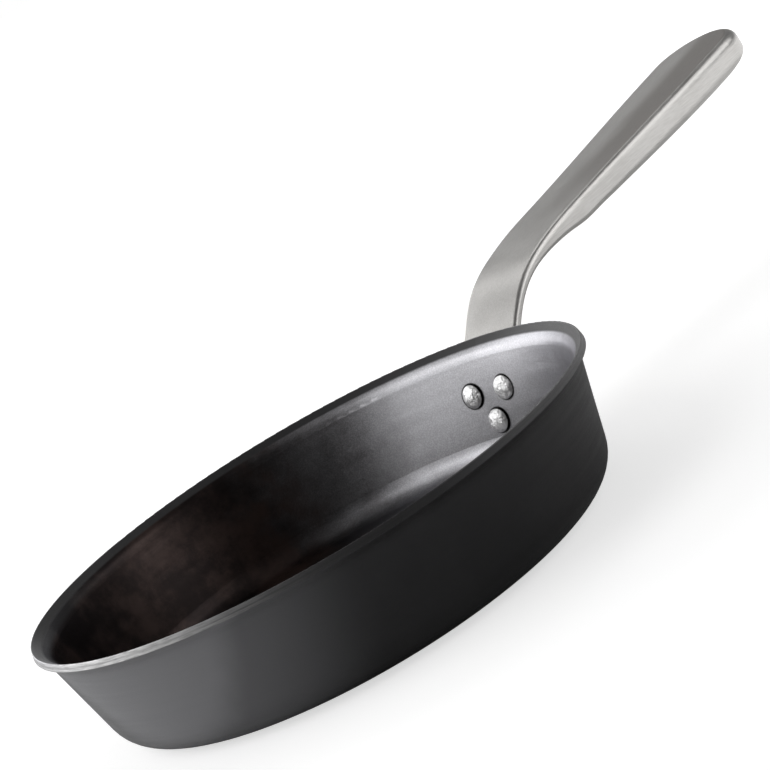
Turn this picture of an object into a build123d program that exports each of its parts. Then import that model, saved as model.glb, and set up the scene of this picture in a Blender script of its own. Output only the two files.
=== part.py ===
from build123d import *
import os
from math import cos, radians, sin, tan

# An omelette pan: a pressed aluminium pan with a flared lip, and a cast steel
# handle held by three solid rivets. Sizes are millimetres and degrees.
# The origin is the centre of the underside, +Z is up, the handle points along +X.

# Pan body: one sheet pressed to shape, the base left a little thicker
rim_radius = 100.1              # to the sharp outer corner of the lip, before its rounding
pan_height = 43.2               # worktop to the sharp top corner of the lip
base_thickness = 2.8
wall_thickness = 2.4
wall_lean = 12.6                # from the vertical
outer_heel_radius = 13.0
inner_heel_radius = 9.5

# Lip: the top of the wall turned outwards, its edge trimmed almost upright
lip_reach = 2.05                # how far the lip stands out past the line of the wall
lip_flare = 50.0                # from the vertical
lip_face_lean = 13.0            # the trimmed edge leans inwards as it rises
lip_bend_radius = 4.0           # on the underside of the lip
lip_edge_round = 0.3

# Handle line: the middle of the top face, seen from the side
handle_length = 188.7           # from the lip to the end of the handle
tip_rise = 31.9                 # from the lip up to the top of the end
grip_slope = 6.0                # from the horizontal
neck_slope = 42.5
sweep_radius = 200.0            # the gentle curve where the grip begins
sweep_turn = 7.5
bend_radius = 54.0              # the tighter curve down to the neck
neck_root_drop = 10.3           # from the lip down to where the line of the neck meets the wall
root_radius = 9.0
root_clearance = 0.2            # between the wall and the strip just above the pad

# Handle sections
strip_thickness = 3.2           # neck and pad
neck_half_width = 13.2
shoulder_half_width = 15.4      # where the two curves end and the grip begins
grip_half_width = 19.3
shoulder_depth = 8.5            # top face to the lower edge of the turned-down side
grip_depth = 12.2
neck_edge_round = 1.3
grip_edge_round = 4.0
lower_edge_round = 0.8          # pad and neck
grip_lower_round = 4.0          # the outer corner of the turned-down sides at the round end
neck_crown = 0.1                # how far the top face falls towards its edges
grip_crown = 0.3
lift_length = 33.0              # end of the handle to where its lower edge starts to curve up
end_depth = 4.1                 # top face to the lower edge at the very end

section_count = 18              # evenly spaced sections that shape the handle past the neck

# Hollow underside of the grip
roof_thickness = 2.6
side_thickness = 2.3
hollow_corner_round = 2.0
hollow_start = 16.0             # past the start of the bend, where it fades in
hollow_start_depth = 4.2        # its roof there, just under the strip

# Rivets and the pad that they hold
rivet_spacing = 15.3            # between the two upper rivets
rivet_heel_gap = 1.1            # between the lower rivet's head and the round of the inner heel
upper_rivet_share = 0.58        # of the way from the lower rivet up to the root of the neck
shank_diameter = 5.0
head_diameter = 8.8             # inside the pan
head_height = 2.7
head_rim_height = 0.7           # upright edge below the dome
tail_diameter = 8.0             # outside, on the pad
tail_height = 1.6
tail_rim_height = 0.4
dome_edge_round = 0.6           # where the rim turns into the dome
pad_margin = 4.85               # rivet axis to the edge of the pad

# Clearances and cuts
seat_gap = 0.05                 # between faces that are pressed together
hole_clearance = 0.05           # around a rivet's shank
overrun = 5.0                   # how far a cutting body reaches past what it cuts


def leaning(angle, run):
    """A step along a line in the pan's section, outwards and upwards, for a lean from the vertical."""
    return Vector(run * sin(radians(angle)), run * cos(radians(angle)))


def sloping(angle, run):
    """A step along a line in the handle's side view, outwards and upwards, for a slope from the level."""
    return Vector(run * cos(radians(angle)), run * sin(radians(angle)))


def crossing(point_a, direction_a, point_b, direction_b):
    """Where two lines in a section meet."""
    across = direction_a.X * direction_b.Y - direction_a.Y * direction_b.X
    gap = point_b - point_a
    run = (gap.X * direction_b.Y - gap.Y * direction_b.X) / across
    return point_a + direction_a * run


def wall_radius(height, depth_in=0.0):
    """Radius of the wall at a height, on its outer face or at a depth into the sheet."""
    lean_in = (pan_height - height) * tan(radians(wall_lean))
    return rim_radius - lip_reach - lean_in - depth_in / cos(radians(wall_lean))


# The pan's section

wall_up = leaning(wall_lean, 1)
lip_out = leaning(lip_flare, 1)
lip_face_height = wall_thickness / sin(radians(lip_flare + lip_face_lean))
lip_face = leaning(-lip_face_lean, lip_face_height)
lip_top = Vector(rim_radius + lip_face.X, pan_height)
lip_bottom = lip_top - lip_face


def pan_body():
    """The pan, turned from its section about the upright axis, with the holes for the rivets."""
    outer_foot = Vector(wall_radius(0), 0)
    inner_foot = Vector(wall_radius(base_thickness, wall_thickness), base_thickness)
    outer_turn = crossing(outer_foot, wall_up, lip_bottom, lip_out)
    inner_turn = crossing(inner_foot, wall_up, lip_top, lip_out)
    outline = Polyline(
        Vector(0, 0), outer_foot, outer_turn, lip_bottom, lip_top, inner_turn, inner_foot,
        Vector(0, base_thickness), close=True,
    )
    section = make_face(outline)
    rounds = [
        (outer_foot, outer_heel_radius),
        (inner_foot, inner_heel_radius),
        (outer_turn, lip_bend_radius),
        (inner_turn, lip_bend_radius + wall_thickness),
        (lip_bottom, lip_edge_round),
        (lip_top, lip_edge_round),
    ]
    for corner, radius in rounds:
        vertex = section.vertices().sort_by_distance(corner)[0]
        section = fillet(vertex, radius)
    return revolve(Plane.XZ * section, Axis.Z) - rivet_holes()


def wall_cone(depth_in):
    """Everything inside the wall's cone, at a depth into the sheet."""
    foot = Vector(wall_radius(0, depth_in), 0)
    head = Vector(wall_radius(pan_height, depth_in), pan_height)
    section = make_face(Polyline(Vector(0, 0), foot, head, Vector(0, pan_height), close=True))
    return revolve(Plane.XZ * section, Axis.Z)


# The handle's line: up the wall, round the root, along the neck, over the bend and out

wall_slope = 90 - wall_lean
shoulder_slope = grip_slope + sweep_turn
root_turn = root_radius * tan(radians(wall_slope - neck_slope) / 2)


def arc_step(radius, steep, shallow):
    """The step along an arc of the handle's line, from a steeper slope over to a shallower one."""
    outwards = sin(radians(steep)) - sin(radians(shallow))
    upwards = cos(radians(shallow)) - cos(radians(steep))
    return Vector(radius * outwards, radius * upwards)


def between(first, last, share):
    """A value part of the way from one to another."""
    return first + (last - first) * share


neck_root_height = pan_height - neck_root_drop
neck_root = Vector(wall_radius(neck_root_height, -root_clearance), neck_root_height)
root_start = neck_root - leaning(wall_lean, root_turn)
root_end = neck_root + sloping(neck_slope, root_turn)
tip = Vector(rim_radius + handle_length, pan_height + tip_rise)
bend_step = arc_step(bend_radius, neck_slope, shoulder_slope)
sweep_step = arc_step(sweep_radius, shoulder_slope, grip_slope)
bend_start = crossing(neck_root, sloping(neck_slope, 1), tip - bend_step - sweep_step, sloping(grip_slope, 1))
sweep_start = bend_start + bend_step
shoulder = sweep_start + sweep_step
grip_end = tip - sloping(grip_slope, grip_half_width)

bend_length = bend_radius * radians(neck_slope - shoulder_slope)
curve_length = bend_length + sweep_radius * radians(sweep_turn)
line_length = curve_length + (grip_end - shoulder).length
section_spacing = line_length / section_count
neck_length = (bend_start - root_end).length


def across(point, slope):
    """The plane square to the handle's line; its own Y is the way the top face looks."""
    along = sloping(slope, 1)
    return Plane(origin=(point.X, 0, point.Y), x_dir=(0, 1, 0), z_dir=(along.X, 0, along.Y))


def line_place(distance):
    """Point and slope of the handle's line at a distance past the start of the bend."""
    if distance < 0:
        return bend_start + sloping(neck_slope, distance), neck_slope
    if distance < bend_length:
        slope = between(neck_slope, shoulder_slope, distance / bend_length)
        return bend_start + arc_step(bend_radius, neck_slope, slope), slope
    if distance < curve_length:
        slope = between(shoulder_slope, grip_slope, (distance - bend_length) / (curve_length - bend_length))
        return sweep_start + arc_step(sweep_radius, shoulder_slope, slope), slope
    return shoulder + sloping(grip_slope, distance - curve_length), grip_slope


def strip_size(distance):
    """Half width and depth of the handle at a distance past the start of the bend."""
    if distance < curve_length:
        share = max(0, distance) / curve_length
        half_width = between(neck_half_width, shoulder_half_width, share)
        return half_width, between(strip_thickness, shoulder_depth, share ** 2)
    turn = radians(90 * (distance - curve_length) / (line_length - curve_length))
    half_width = between(shoulder_half_width, grip_half_width, sin(turn) ** 2)
    return half_width, between(shoulder_depth, grip_depth, sin(turn))


def outer_section(distance):
    """The handle's outer shape cut square across: crowned on top, its four long edges rounded."""
    half_width, depth = strip_size(distance)
    share = max(0, distance) / line_length
    crown = between(neck_crown, grip_crown, share)
    top = ThreePointArc((-half_width, -crown), (0, 0), (half_width, -crown))
    sides = Polyline((half_width, -crown), (half_width, -depth), (-half_width, -depth), (-half_width, -crown))
    section = make_face(top + sides)
    lower_round = between(lower_edge_round, grip_lower_round, share)
    section = fillet(section.vertices().group_by(Axis.Y)[0], lower_round)
    edge_round = between(neck_edge_round, grip_edge_round, share)
    return fillet(section.vertices().group_by(Axis.Y)[-1], edge_round)


def hollow_section(distance):
    """The hollow underneath cut square across, open below; its roof starts just under the strip."""
    half_width, depth = strip_size(distance)
    fade = min(1, distance / curve_length)
    roof = between(hollow_start_depth, roof_thickness, sin(radians(90 * fade)))
    width = 2 * (half_width - side_thickness)
    section = Rectangle(width, depth + overrun - roof, align=(Align.CENTER, Align.MAX))
    section = fillet(section.vertices().group_by(Axis.Y)[-1], hollow_corner_round)
    return Pos(0, -roof) * section


def shaped(section_at, distances):
    """A body shaped by sections along the handle's line, closed by the round end."""
    body = loft([across(*line_place(distance)) * section_at(distance) for distance in distances])
    last_plane = across(grip_end, grip_slope)
    half = split(section_at(line_length), Plane.YZ)
    return body + revolve(last_plane * half, Axis(last_plane.origin, -last_plane.y_dir), revolution_arc=180)


# The rivets' axes: square to the wall in the handle's own plane


def rivet_plane(side, height):
    """The plane on the wall's inner face at a rivet; its Z runs out along the rivet."""
    origin = (wall_radius(height, wall_thickness), side, height)
    return Plane(origin=origin, x_dir=(0, 1, 0), z_dir=(wall_up.Y, 0, -wall_up.X))


heel_top = base_thickness + inner_heel_radius * (1 - sin(radians(wall_lean)))
lower_rivet_height = heel_top + rivet_heel_gap + head_diameter / 2 * cos(radians(wall_lean))
upper_rivet_height = between(lower_rivet_height, neck_root_height, upper_rivet_share)
rivet_planes = {
    "rivet_upper_left": rivet_plane(rivet_spacing / 2, upper_rivet_height),
    "rivet_upper_right": rivet_plane(-rivet_spacing / 2, upper_rivet_height),
    "rivet_lower": rivet_plane(0, lower_rivet_height),
}
pad_face = wall_thickness + root_clearance + strip_thickness


def rivet_holes():
    """The three holes through the wall and the pad."""
    radius = shank_diameter / 2 + hole_clearance
    hole = Cylinder(radius, pad_face + 2 * overrun, align=(Align.CENTER, Align.CENTER, Align.MIN))
    return [plane * Pos(0, 0, -overrun) * hole for plane in rivet_planes.values()]


def pad():
    """The flat pad round the rivets, up to the root, its back shaped to the round wall."""
    plane = rivet_plane(0, upper_rivet_height)
    spots = [Pos(plane.to_local_coords(other.origin)) for other in rivet_planes.values()]
    outline = make_hull([(spot * Rot(0, 0, 90) * Circle(pad_margin)).edge() for spot in spots])
    rise = plane.to_local_coords(Vector(root_start.X, 0, root_start.Y)).Y
    outline += Rectangle(2 * neck_half_width, rise, align=(Align.CENTER, Align.MIN))
    slab = extrude(plane * Pos(0, 0, pad_face) * outline, -(strip_thickness + overrun))
    outer_face = slab.faces().sort_by(Axis(plane.origin, plane.z_dir))[-1]
    open_edges = outer_face.edges().sort_by(Axis(plane.origin, plane.y_dir))[:-1]
    return fillet(open_edges, lower_edge_round) - wall_cone(-seat_gap)


def root():
    """The strip from the pad round the root and onto the neck."""
    section = outer_section(0)
    centre = root_start + Vector(wall_up.Y, -wall_up.X) * root_radius
    axis = Axis((centre.X, 0, centre.Y), (0, 1, 0))
    turned = revolve(across(root_start, wall_slope) * section, axis, revolution_arc=wall_slope - neck_slope)
    return turned + extrude(across(root_end, neck_slope) * section, neck_length / 2)


def lift_cut():
    """What is cut away below the round end, so that the lower edge curves up towards it."""
    start = tip - sloping(grip_slope, lift_length) - leaning(-grip_slope, grip_depth)
    rise = grip_depth - end_depth
    radius = (lift_length ** 2 + rise ** 2) / (2 * rise)
    side_view = Plane(origin=(start.X, 0, start.Y), x_dir=across(start, grip_slope).z_dir, z_dir=(0, -1, 0))
    below = Pos(0, -overrun) * Rectangle(lift_length + overrun, grip_depth + overrun, align=Align.MIN)
    return extrude(side_view * (below - Pos(0, radius) * Circle(radius)), grip_half_width + overrun, both=True)


def handle():
    """The handle in one piece: pad, root, neck and grip, hollow underneath."""
    distances = [section_spacing * station for station in range(section_count + 1)]
    body = pad() + root() + shaped(outer_section, [-neck_length / 2] + distances)
    hollow = shaped(hollow_section, [distance for distance in distances if distance > hollow_start])
    return body - lift_cut() - hollow - rivet_holes()


def button(diameter, rim_height, height, sink):
    """A rivet's head: an upright rim below a low dome, reaching down past its seat by the sink."""
    radius = diameter / 2
    rise = height - rim_height
    dome_radius = (radius ** 2 + rise ** 2) / (2 * rise)
    sides = Polyline((0, height), (0, -sink), (radius, -sink), (radius, rim_height))
    section = make_face(sides + RadiusArc((radius, rim_height), (0, height), -dome_radius))
    corner = section.vertices().sort_by_distance((radius, rim_height))[0]
    return revolve(Plane.XZ * fillet(corner, dome_edge_round), Axis.Z)


def rivet(plane):
    """A solid rivet: domed head on the inside of the wall, shank, and flatter tail on the pad."""
    head = plane * Rot(180, 0, 0) * button(head_diameter, head_rim_height, head_height, overrun)
    head &= wall_cone(wall_thickness + seat_gap)
    tail = plane * Pos(0, 0, pad_face + seat_gap) * button(tail_diameter, tail_rim_height, tail_height, 0)
    length = head_rim_height + pad_face + tail_rim_height
    shank = Cylinder(shank_diameter / 2, length, align=(Align.CENTER, Align.CENTER, Align.MIN))
    return head + plane * Pos(0, 0, -head_rim_height) * shank + tail


nodes = {"pan_body": pan_body(), "handle": handle()}
for name, plane in rivet_planes.items():
    nodes[name] = rivet(plane)

os.makedirs("parts", exist_ok=True)
for name, solid in nodes.items():
    export_step(solid, f"parts/{name}.step")
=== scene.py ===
from math import cos, pi, sin, tan

import bpy
from mathutils import Matrix, Vector

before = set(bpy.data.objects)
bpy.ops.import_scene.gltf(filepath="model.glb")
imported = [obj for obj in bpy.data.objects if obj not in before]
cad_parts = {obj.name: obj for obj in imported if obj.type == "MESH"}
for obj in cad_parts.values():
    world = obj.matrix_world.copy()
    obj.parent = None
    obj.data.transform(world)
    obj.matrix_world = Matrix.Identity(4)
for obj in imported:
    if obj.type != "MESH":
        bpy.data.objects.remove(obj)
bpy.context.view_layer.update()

# The camera stands low beside the pan, opposite the handle and a little to its
# right, and is rolled over, so that the handle climbs to the upper right.

scene = bpy.context.scene
scene.view_settings.view_transform = "Standard"

camera_place = Vector((-0.5763, -0.6849, 0.2341))
camera_right = Vector((0.57094, -0.65585, -0.49384))
camera_up = Vector((0.48393, -0.21706, 0.84776))
camera_back = camera_right.cross(camera_up)

camera_data = bpy.data.cameras.new("camera")
camera_data.sensor_width = 36.0
camera_data.lens = 135.58
camera = bpy.data.objects.new("camera", camera_data)
scene.collection.objects.link(camera)
camera.matrix_world = Matrix.LocRotScale(
    camera_place,
    Matrix((camera_right, camera_up, camera_back)).transposed(),
    None,
)
scene.camera = camera

# The pan body is one aluminium sheet, pressed to shape and turned over at the
# lip, with a dark hard skin. The skin is finely pitted, browned by heat in patches inside,
# and rubbed through to pale metal along the trimmed edge of the lip. Painted shade darkens the
# lining away from the handle, and painted sheen and highlights lie on the lip, the outer skin and
# the trimmed edge.


def new_finish(name):
    """A material, the tree that its nodes go into, and its Principled shader."""
    finish = bpy.data.materials.new(name)
    finish.use_nodes = True
    return finish, finish.node_tree, finish.node_tree.nodes["Principled BSDF"]


def wire(tree, source, socket):
    """Joins an output to a socket, or sets the socket where a plain value is given."""
    if isinstance(source, bpy.types.NodeSocket):
        tree.links.new(source, socket)
    else:
        socket.default_value = source


def sums(tree, operation, first, second=0.0):
    """One step of arithmetic on numbers."""
    node = tree.nodes.new("ShaderNodeMath")
    node.operation = operation
    wire(tree, first, node.inputs[0])
    wire(tree, second, node.inputs[1])
    return node.outputs[0]


def product(tree, first, *others):
    """Several numbers multiplied."""
    for other in others:
        first = sums(tree, "MULTIPLY", first, other)
    return first


def span(tree, first, second):
    """The length of the long side over two short sides at right angles."""
    squares = sums(tree, "ADD", product(tree, first, first), product(tree, second, second))
    return sums(tree, "SQRT", squares)


def spread(tree, value, low, high, bottom=0.0, top=1.0):
    """A smooth step from bottom to top while the value goes from low to high."""
    node = tree.nodes.new("ShaderNodeMapRange")
    node.interpolation_type = "SMOOTHSTEP"
    wire(tree, value, node.inputs["Value"])
    node.inputs["From Min"].default_value = low
    node.inputs["From Max"].default_value = high
    node.inputs["To Min"].default_value = bottom
    node.inputs["To Max"].default_value = top
    return node.outputs[0]


def past(tree, value, limit, blur, bottom=0.0, top=1.0):
    """A short step from bottom to top where the value passes a limit."""
    return spread(tree, value, limit - blur, limit + blur, bottom, top)


def place(tree, stretch=(1.0, 1.0, 1.0)):
    """The point on the piece in metres from the origin, with each direction stretched."""
    coordinates = tree.nodes.new("ShaderNodeTexCoord")
    mapping = tree.nodes.new("ShaderNodeMapping")
    mapping.inputs["Scale"].default_value = stretch
    tree.links.new(coordinates.outputs["Object"], mapping.inputs["Vector"])
    return mapping.outputs[0]


def axes(tree, where):
    """The three parts of a point or a direction."""
    node = tree.nodes.new("ShaderNodeSeparateXYZ")
    tree.links.new(where, node.inputs[0])
    return node.outputs["X"], node.outputs["Y"], node.outputs["Z"]


def grain(tree, where, per_metre, detail=2.0, roughness=0.5):
    """Cloudy noise, so many features to the metre."""
    node = tree.nodes.new("ShaderNodeTexNoise")
    node.inputs["Scale"].default_value = per_metre
    node.inputs["Detail"].default_value = detail
    node.inputs["Roughness"].default_value = roughness
    tree.links.new(where, node.inputs["Vector"])
    return node.outputs["Fac"]


def tint(tree, share, first, second):
    """A colour between two, by a share."""
    node = tree.nodes.new("ShaderNodeMix")
    node.data_type = "RGBA"
    wire(tree, share, node.inputs["Factor"])
    wire(tree, first, node.inputs[6])
    wire(tree, second, node.inputs[7])
    return node.outputs[2]


def relief(tree, shader, *layers):
    """Bump on a shader, lowest layer first: each is a height, its metres and its strength."""
    below = None
    for height, depth, strength in layers:
        node = tree.nodes.new("ShaderNodeBump")
        node.inputs["Strength"].default_value = strength
        node.inputs["Distance"].default_value = depth
        tree.links.new(height, node.inputs["Height"])
        if below:
            tree.links.new(below, node.inputs["Normal"])
        below = node.outputs[0]
    tree.links.new(below, shader.inputs["Normal"])


def dress(node_name, finish):
    """Gives a CAD piece its finish."""
    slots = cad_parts[node_name].data.materials
    slots.clear()
    slots.append(finish)


def from_rivet(tree, point):
    """Distance from the nearest of the three rivets' axes, which stand square to the wall."""
    distances = []
    for (seat_x, seat_z), side in ((lower_seat, 0.0), (upper_seat, rivet_spacing / 2)):
        across = sums(tree, "SUBTRACT", sums(tree, "ABSOLUTE", point[1]), side)
        along_x = product(tree, sums(tree, "SUBTRACT", point[0], seat_x), sin(wall_lean))
        along_z = product(tree, sums(tree, "SUBTRACT", point[2], seat_z), cos(wall_lean))
        distances.append(span(tree, across, sums(tree, "ADD", along_x, along_z)))
    return sums(tree, "MINIMUM", *distances)


# Of these colours, the pale coat, the lining's near-black and the lip's grey are painted sheen and
# shade, and the grime's black is grime and painted shadow.
coat_black = (0.0125, 0.0120, 0.0122, 1.0)
coat_grey = (0.0190, 0.0183, 0.0186, 1.0)
coat_painted_sheen = (0.200, 0.200, 0.208, 1.0)
inside_grey = (0.350, 0.348, 0.364, 1.0)
inside_speck = (0.480, 0.477, 0.500, 1.0)
lining_shade_dark = (0.017, 0.014, 0.014, 1.0)
inside_brown = (0.040, 0.0235, 0.019, 1.0)
lip_sheen_grey = (0.046, 0.045, 0.045, 1.0)
grime_shadow_black = (0.006, 0.005, 0.005, 1.0)
edge_metal = (0.53, 0.528, 0.526, 1.0)

wall_lean = 0.2199                              # radians from the upright
mid_wall_foot = 0.0875                          # the middle of the sheet, run down to the table
mid_base_height = 0.0014
heel_radius, heel_height = 0.0785, 0.01265      # the centre of the heel's round
mid_heel_round = 0.0113
heel_top = 0.00965
lip_bend_low, lip_bend_high = 0.0375, 0.0395
edge_radius, edge_height = 0.0994, 0.04055      # where the trimmed edge begins
edge_line_height = 0.0417                       # a turning mark along it
corner_radius, corner_height = 0.0990, 0.0427   # the top corner, rubbed bare and painted as a highlight
dark_lining_end, grey_lining_start = 0.066, 0.122         # towards the handle
lip_sheen_full, lip_sheen_end = -0.055, -0.010
sheen_heavy = (-0.0905, -0.085)                 # along the pan, away from the handle
sheen_light = (-0.088, -0.058)
glint_start, glint_full = -0.082, 0.010           # across the pan, to the camera's left
rivet_spacing = 0.0153
lower_seat, upper_seat = (0.0894, 0.0156), (0.0917, 0.0256)
dark_ring_inner, dark_ring_outer = 0.0045, 0.0050       # from a rivet's axis

pan_finish, tree, skin = new_finish("dark pan skin")
where = place(tree)
point = axes(tree, where)
along, across, height = point

# The middle of the sheet parts the lining from the outer skin.
radius = span(tree, along, across)
wall_foot = sums(tree, "SUBTRACT", radius, product(tree, height, tan(wall_lean)))
past_heel = sums(tree, "MAXIMUM", sums(tree, "SUBTRACT", radius, heel_radius), 0.0)
under_heel = sums(tree, "MAXIMUM", sums(tree, "SUBTRACT", heel_height, height), 0.0)
within_heel = past(tree, span(tree, past_heel, under_heel), mid_heel_round, 0.0001, 1.0, 0.0)
inside = product(
    tree,
    past(tree, wall_foot, mid_wall_foot, 0.0003, 1.0, 0.0),
    sums(tree, "MAXIMUM", within_heel, past(tree, height, heel_top, 0.00015)),
    past(tree, height, mid_base_height, 0.0003),
)

clouds = grain(tree, where, 26.0, 5.0, 0.6)
patches = grain(tree, where, 45.0, 6.0, 0.65)
speckle = grain(tree, where, 2100.0, 3.0, 0.7)
pits = grain(tree, where, 700.0, 4.0, 0.6)
turned = grain(tree, place(tree, (0.03, 0.03, 1.0)), 420.0, 4.0, 0.6)
edge_lines = grain(tree, place(tree, (0.06, 0.06, 1.0)), 2600.0, 4.0, 0.7)

# Inside, the lining is grey by the handle; painted shade darkens it away from the handle, where it
# is also browned by heat in patches.
burn_and_shade = sums(tree, "ADD", along, product(tree, clouds, 0.06))
burn_and_shade = spread(tree, burn_and_shade, dark_lining_end, grey_lining_start, 1.0, 0.0)
stain = product(tree, spread(tree, patches, 0.40, 0.64, 0.1, 0.9), burn_and_shade)
# A painted sheen turns the lip grey from its bend up, at the end away from the handle.
lip_painted_sheen = product(
    tree,
    spread(tree, height, lip_bend_low, lip_bend_high),
    spread(tree, along, lip_sheen_full, lip_sheen_end, 1.0, 0.0),
)
lining = tint(tree, spread(tree, speckle, 0.40, 0.66), inside_grey, inside_speck)
lining = tint(tree, burn_and_shade, lining, lining_shade_dark)
lining = tint(tree, stain, lining, inside_brown)
lining = tint(tree, lip_painted_sheen, lining, lip_sheen_grey)

# Outside, the skin is black, with a painted pale sheen on the side away from the handle.
at_edge = product(
    tree,
    past(tree, radius, edge_radius, 0.0001),
    past(tree, height, edge_height, 0.00015),
)
ragged = product(tree, sums(tree, "SUBTRACT", clouds, 0.5), 0.004)
ragged = sums(tree, "ADD", along, ragged)
coat_sheen = sums(
    tree, "ADD",
    spread(tree, ragged, *sheen_heavy, 0.45, 0.0),
    spread(tree, ragged, *sheen_light, 0.55, 0.0),
)
coat_sheen = product(tree, coat_sheen, sums(tree, "SUBTRACT", 1.0, at_edge))
coat = tint(tree, spread(tree, clouds, 0.35, 0.65), coat_black, coat_grey)
coat = tint(tree, coat_sheen, coat, coat_painted_sheen)

# The trimmed edge is rubbed bare in places; a painted highlight of bare metal lies along it at the
# camera's left, and faintly by the handle.
rubbed_and_glint = product(
    tree,
    spread(tree, across, glint_start, glint_full, 0.02, 1.0),
    spread(tree, along, -0.09, 0.0, 1.0, 0.0),
)
rubbed_and_glint = sums(tree, "MAXIMUM", rubbed_and_glint, spread(tree, along, -0.04, 0.05, 0.0, 0.12))
from_line = sums(tree, "ABSOLUTE", sums(tree, "SUBTRACT", height, edge_line_height))
marks = product(
    tree,
    spread(tree, from_line, 0.0001, 0.0004, 0.72, 1.0),
    spread(tree, edge_lines, 0.35, 0.60, 0.62, 1.0),
)
# Its top corner is rubbed bare and carries a faint painted highlight on the handle's side.
corner = product(
    tree,
    past(tree, height, corner_height, 0.0001),
    past(tree, radius, corner_radius, 0.0001, 0.0, 0.25),
    spread(tree, along, -0.045, -0.010),
)
bare_and_glint = sums(tree, "MAXIMUM", product(tree, at_edge, rubbed_and_glint, marks), corner)

# A dark ring round each rivet's head is grime and painted contact shadow.
grime_and_shadow = product(
    tree,
    spread(tree, from_rivet(tree, point), dark_ring_inner, dark_ring_outer, 1.0, 0.0),
    spread(tree, along, 0.0, 0.01),
)

base = tint(tree, inside, coat, lining)
base = tint(tree, bare_and_glint, base, edge_metal)
base = tint(tree, grime_and_shadow, base, grime_shadow_black)
tree.links.new(base, skin.inputs["Base Color"])

unstained = sums(tree, "SUBTRACT", 1.0, product(tree, stain, 0.5))
metal = sums(tree, "MAXIMUM", product(tree, inside, unstained), bare_and_glint)
metal = product(tree, metal, sums(tree, "SUBTRACT", 1.0, grime_and_shadow))
tree.links.new(metal, skin.inputs["Metallic"])

uneven = sums(
    tree, "ADD",
    spread(tree, speckle, 0.3, 0.7, -0.04, 0.04),
    spread(tree, turned, 0.3, 0.7, -0.04, 0.04),
)
matt = sums(tree, "ADD", spread(tree, inside, 0.0, 1.0, 0.46, 0.36), uneven)
tree.links.new(matt, skin.inputs["Roughness"])
skin.inputs["Specular IOR Level"].default_value = 0.5
skin.inputs["Specular Tint"].default_value = (0.68, 0.68, 0.71, 1.0)
relief(tree, skin, (pits, 0.00005, 0.4), (speckle, 0.00004, 0.6))
dress("pan_body", pan_finish)

# The handle is one steel casting, satin-brushed along its length. Its sides turn
# down towards the round end and leave it hollow below; three rivets hold its pad.

steel_pale = (0.58, 0.57, 0.555, 1.0)
steel_grey = (0.47, 0.46, 0.445, 1.0)
steel_painted_shade = (0.27, 0.25, 0.235, 1.0)
dark_half_start, dark_half_full = 0.13, 0.21      # along the grip
shade_share = 0.85

handle_finish, tree, steel = new_finish("satin cast steel")
where = place(tree)
along, across, height = axes(tree, where)
strokes = grain(tree, place(tree, (0.05, 1.0, 1.0)), 2600.0, 4.0, 0.6)
mottle = grain(tree, where, 55.0, 3.0, 0.55)
fine = grain(tree, where, 3000.0, 2.0, 0.6)
tone = sums(tree, "ADD", product(tree, strokes, 0.65), product(tree, mottle, 0.35))
metal = tint(tree, spread(tree, tone, 0.35, 0.65), steel_grey, steel_pale)

# Painted shade darkens one half of the grip's top face, away from the pan.
wander = grain(tree, place(tree, (0.35, 1.0, 1.0)), 60.0, 2.0, 0.5)
wander = product(tree, sums(tree, "SUBTRACT", wander, 0.5), 0.012)
normal = tree.nodes.new("ShaderNodeNewGeometry").outputs["Normal"]
facing_up = axes(tree, normal)[2]
painted_dark_half = product(
    tree,
    spread(tree, sums(tree, "ADD", across, wander), -0.004, 0.006, 1.0, 0.0),
    spread(tree, along, dark_half_start, dark_half_full),
    spread(tree, facing_up, 0.96, 0.99),
    shade_share,
)
tree.links.new(tint(tree, painted_dark_half, metal, steel_painted_shade), steel.inputs["Base Color"])
tree.links.new(spread(tree, tone, 0.3, 0.7, 0.30, 0.42), steel.inputs["Roughness"])
steel.inputs["Metallic"].default_value = 1.0
relief(tree, steel, (fine, 0.00002, 0.4), (strokes, 0.00003, 0.5))
dress("handle", handle_finish)

# Three solid aluminium rivets go through the wall and the pad. Their heads are
# hammered low domes inside the pan, and their tails are set flat on the pad.

rivet_pale = (0.90, 0.90, 0.90, 1.0)
rivet_dull = (0.82, 0.82, 0.82, 1.0)
mid_rivet_reach = 0.094                 # heads lie nearer the origin, and tails farther
rim_inner, rim_outer = 0.0040, 0.0043   # from a rivet's axis

rivet_finish, tree, head = new_finish("hammered aluminium")
where = place(tree)
point = axes(tree, where)
dents = grain(tree, where, 400.0, 2.0, 0.5)
fine = grain(tree, where, 2600.0, 3.0, 0.6)
metal = tint(tree, spread(tree, dents, 0.35, 0.65), rivet_dull, rivet_pale)
# A dark ring round each head's rim is grime and painted shadow.
rim_grime_and_shade = product(
    tree,
    spread(tree, from_rivet(tree, point), rim_inner, rim_outer),
    past(tree, point[0], mid_rivet_reach, 0.001, 1.0, 0.0),
)
tree.links.new(tint(tree, rim_grime_and_shade, metal, grime_shadow_black), head.inputs["Base Color"])
tree.links.new(spread(tree, fine, 0.3, 0.7, 0.50, 0.62), head.inputs["Roughness"])
head.inputs["Metallic"].default_value = 1.0
relief(tree, head, (fine, 0.00004, 0.4), (dents, 0.0011, 1.0))
for rivet in ("rivet_upper_left", "rivet_upper_right", "rivet_lower"):
    dress(rivet, rivet_finish)

# The pan stands on a white studio floor that runs out of sight. The floor shows
# white to the camera and to polished metal, and still takes the pan's soft shadow.

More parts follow.
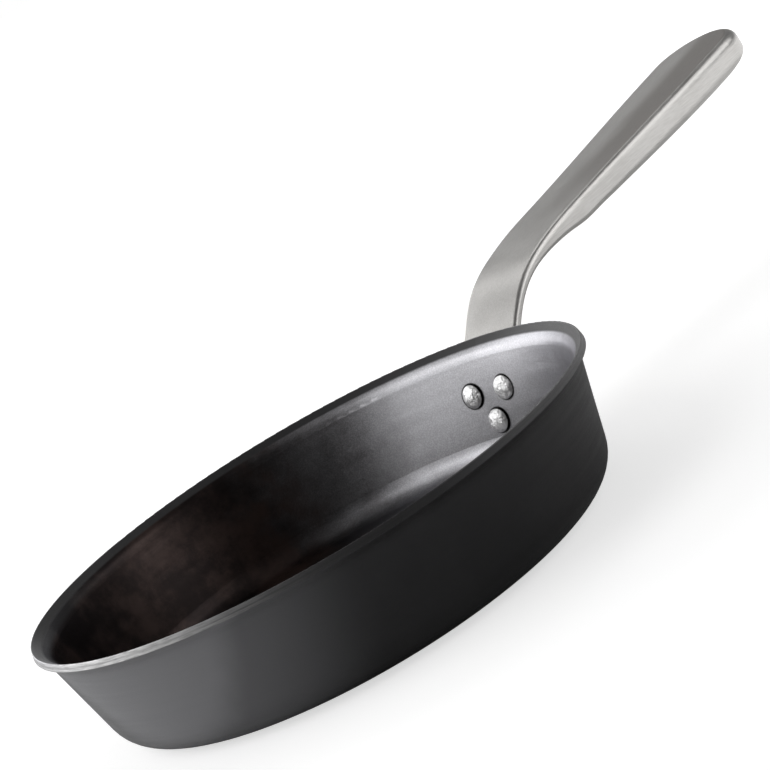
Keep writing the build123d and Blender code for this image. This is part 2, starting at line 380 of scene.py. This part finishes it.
floor_reach = 8.0
floor_drop = 0.0002             # keeps the floor and the pan's base from lying in one plane
shade_end, white_start = 0.25, 1.0
mirror_start, mirror_full = 0.20, 0.57
floor_white = 0.62
mirror_white = 0.88
floor_corners = [
    (-floor_reach, -floor_reach, 0), (floor_reach, -floor_reach, 0),
    (floor_reach, floor_reach, 0), (-floor_reach, floor_reach, 0),
]
floor_mesh = bpy.data.meshes.new("floor")
floor_mesh.from_pydata(floor_corners, [], [(0, 1, 2, 3)])
floor = bpy.data.objects.new("floor", floor_mesh)
scene.collection.objects.link(floor)
floor.location.z = -floor_drop

floor_finish, tree, paper = new_finish("white paper floor")
paper.inputs["Base Color"].default_value = (floor_white, floor_white, floor_white, 1.0)
paper.inputs["Roughness"].default_value = 0.9
paper.inputs["Specular IOR Level"].default_value = 0.0
distance = tree.nodes.new("ShaderNodeVectorMath")
distance.operation = "LENGTH"
tree.links.new(place(tree), distance.inputs[0])
from_pan = distance.outputs["Value"]
path = tree.nodes.new("ShaderNodeLightPath").outputs
white = spread(tree, from_pan, shade_end, white_start, floor_white, 1.0)
looked_at = product(tree, path["Is Camera Ray"], white)
mirrored = sums(tree, "MAXIMUM", path["Is Glossy Ray"], path["Is Transmission Ray"])
mirrored = product(tree, mirrored, spread(tree, from_pan, mirror_start, mirror_full), mirror_white)
glow = tree.nodes.new("ShaderNodeEmission")
glow.inputs["Color"].default_value = (1.0, 1.0, 1.0, 1.0)
tree.links.new(sums(tree, "ADD", looked_at, mirrored), glow.inputs["Strength"])
both = tree.nodes.new("ShaderNodeAddShader")
tree.links.new(paper.outputs[0], both.inputs[0])
tree.links.new(glow.outputs[0], both.inputs[1])
tree.links.new(both.outputs[0], tree.nodes["Material Output"].inputs["Surface"])
floor_mesh.materials.append(floor_finish)

# A low white backdrop runs round the floor, under a dimmer room, and both are
# dimmer again on the camera's side. The camera itself sees white everywhere.

towards_camera = (-0.72, -0.69)
front_start, front_full = 0.2, 0.75
backdrop_low, backdrop_high = 0.02, 0.16    # the upward slant at which its top fades out
room_light = 0.2
backdrop_light = 0.8
backdrop_mirrored = 1.0
camera_side_light = 0.25

world = bpy.data.worlds.new("studio")
scene.world = world
world.use_nodes = True
tree = world.node_tree
direction = tree.nodes.new("ShaderNodeTexCoord").outputs["Generated"]
along, across, rise = axes(tree, direction)
front = sums(
    tree, "ADD",
    product(tree, along, towards_camera[0]),
    product(tree, across, towards_camera[1]),
)
dimmed = spread(tree, front, front_start, front_full, 1.0, camera_side_light)
around = spread(tree, rise, backdrop_low, backdrop_high, backdrop_light, room_light)
around = product(tree, around, dimmed)
path = tree.nodes.new("ShaderNodeLightPath").outputs
mirrored = sums(tree, "MAXIMUM", path["Is Glossy Ray"], path["Is Transmission Ray"])
backdrop = spread(tree, rise, backdrop_low, backdrop_high, backdrop_mirrored, room_light)
mirrored = product(tree, mirrored, backdrop, dimmed)
around = sums(tree, "MAXIMUM", around, mirrored)
room = tree.nodes["Background"]
room.inputs["Color"].default_value = (1.0, 1.0, 1.0, 1.0)
tree.links.new(sums(tree, "MAXIMUM", around, path["Is Camera Ray"]), room.inputs["Strength"])

# Eight soft boxes light the pan. The widest stand behind it and to its left, two
# on the right light the handle's side, and those overhead fill the shadows.


def soft_box(name, where, aim, width, tall, radiance):
    """A rectangular lamp that faces a point and that the camera doesn't see."""
    data = bpy.data.lights.new(name, "AREA")
    data.shape = "RECTANGLE"
    data.size, data.size_y = width, tall
    data.energy = radiance * pi * width * tall
    lamp = bpy.data.objects.new(name, data)
    scene.collection.objects.link(lamp)
    lamp.location = where
    lamp.rotation_mode = "QUATERNION"
    lamp.rotation_quaternion = (Vector(aim) - Vector(where)).to_track_quat("-Z", "Y")
    lamp.visible_camera = False


pan_middle = (0.0, 0.0, 0.03)
handle_foot = (0.1, 0.0, 0.05)

soft_box("back_box", (-0.10, 1.55, 0.62), pan_middle, 1.8, 1.1, 2.5)
soft_box("left_box", (-1.36, 0.76, 0.62), pan_middle, 2.3, 1.1, 1.35)
soft_box("upper_left_box", (-0.95, 0.55, 1.30), pan_middle, 1.2, 0.9, 1.6)
soft_box("upper_back_box", (-0.19, 1.08, 1.30), pan_middle, 0.9, 0.7, 0.25)
soft_box("right_box", (1.05, -0.85, 0.95), handle_foot, 1.2, 0.8, 1.6)
soft_box("near_right_box", (0.75, -1.30, 0.42), handle_foot, 0.9, 0.5, 1.8)
soft_box("upper_right_box", (0.70, 0.70, 1.22), pan_middle, 0.9, 0.6, 1.3)
soft_box("far_box", (1.03, 1.03, 0.56), pan_middle, 0.9, 0.6, 0.2)
